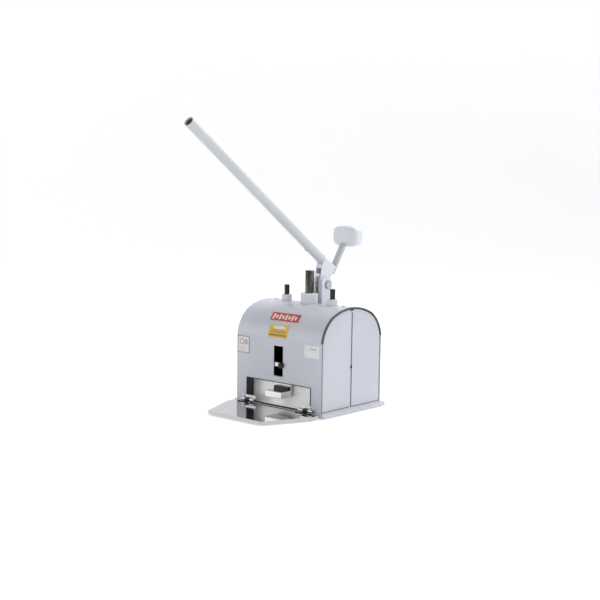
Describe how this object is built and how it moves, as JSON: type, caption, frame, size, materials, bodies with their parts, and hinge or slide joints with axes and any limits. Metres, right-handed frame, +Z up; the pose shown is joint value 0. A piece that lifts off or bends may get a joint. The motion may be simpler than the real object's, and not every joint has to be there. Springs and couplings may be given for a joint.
{
  "type": "hand lever sealing press",
  "caption": "Bench-top hand-lever press: arched sheet housing, rack-and-pinion ram driven by a long counterweighted handle, press head over a polished floor with a hinged front tray.",
  "frame": {"origin": "the point on the bench under the axis of the ram, which is the centre of the arched housing's footprint", "axes": "+X to the end with the two doors, -Y to the front with the feed opening and the tray, +Z up"},
  "size_m": [0.37, 0.7279, 0.8738],
  "materials": {
    "white_paint": "smooth satin white paint with a slight lavender cast",
    "polished_steel": "mirror-polished stainless sheet",
    "bright_steel": "ground bright steel",
    "dark_steel": "blackened steel",
    "black_frame": "matt black paint",
    "rubber": "matt black rubber",
    "bronze": "plain bearing bronze",
    "zinc": "zinc-plated screws"
  },
  "bodies": {
    "housing": {"arch_trim": "rubber", "back_plate": "polished_steel", "back_plate_screws": "zinc", "base_pan": "white_paint", "bracket_cheek_left": "white_paint", "bracket_cheek_right": "white_paint", "bracket_screws": "zinc", "cover_screws": "zinc", "cover_spacers": "bright_steel", "door_post": "bright_steel", "end_panel_screws": "zinc", "end_panel_spacers": "bright_steel", "floor_plate": "polished_steel", "frame_screws": "zinc", "guide_bushes": "bronze", "guide_collars": "white_paint", "hinge_pins": "bright_steel", "housing_wrapper": "white_paint", "left_end_panel": "white_paint", "ram_bush": "bronze", "ram_collar": "white_paint", "rubber_feet": "rubber", "shaft_bushes": "bronze", "side_plate_left": "black_frame", "side_plate_right": "black_frame", "top_bridge": "black_frame", "wall_hinge_leaves": "polished_steel", "wall_hinge_screws": "zinc", "wrapper_angle": "bright_steel"},
    "lever": {"pinion_shaft": "bright_steel", "pinion_key": "bright_steel", "pinion_gear": "bright_steel", "shaft_caps": "bright_steel", "thrust_washers": "bright_steel", "lever_hub": "white_paint", "handle_spigot": "white_paint", "handle_tube": "white_paint", "handle_screw": "bright_steel", "counterweight_arm": "white_paint", "counterweight": "white_paint"},
    "ram": {"ram_rod": "dark_steel", "rack_bar": "bright_steel", "crosshead": "bright_steel", "crosshead_nuts": "zinc", "guide_rods": "dark_steel", "head_bracket": "bright_steel", "head_rods": "bright_steel", "head_screws": "zinc", "head_carrier": "polished_steel", "press_head": "bright_steel", "head_clamp": "dark_steel", "slot_bar": "polished_steel", "thumb_screw": "dark_steel"},
    "tray": {"tray": "polished_steel", "tray_hinge_leaves": "dark_steel", "tray_hinge_screws": "zinc"},
    "door_front": {"door_front": "white_paint"},
    "door_rear": {"door_rear": "white_paint"}
  },
  "joints": [
    {"name": "lever_swing", "type": "hinge", "parent": "housing", "child": "lever", "pos_m": [0, 0.0535, 0.377], "axis": [1, 0, 0], "range_deg": [-25, 49.5]},
    {"name": "ram_slide", "type": "slide", "parent": "housing", "child": "ram", "axis": [0, 0, 1], "range_m": [-0.0262, 0.0133]},
    {"name": "tray_lift", "type": "hinge", "parent": "housing", "child": "tray", "pos_m": [0, -0.147, 0.0205], "axis": [-1, 0, 0], "range_deg": [0, 18]},
    {"name": "door_front_swing", "type": "hinge", "parent": "housing", "child": "door_front", "pos_m": [0.173, -0.0056, 0.1], "axis": [0, 0, 1], "range_deg": [0, 90]},
    {"name": "door_rear_swing", "type": "hinge", "parent": "housing", "child": "door_rear", "pos_m": [0.173, -0.0004, 0.1], "axis": [0, 0, -1], "range_deg": [0, 90]}
  ],
  "couplings": [
    {"joint": "ram_slide", "follows": "lever_swing", "m_per_rad": -0.03}
  ]
}
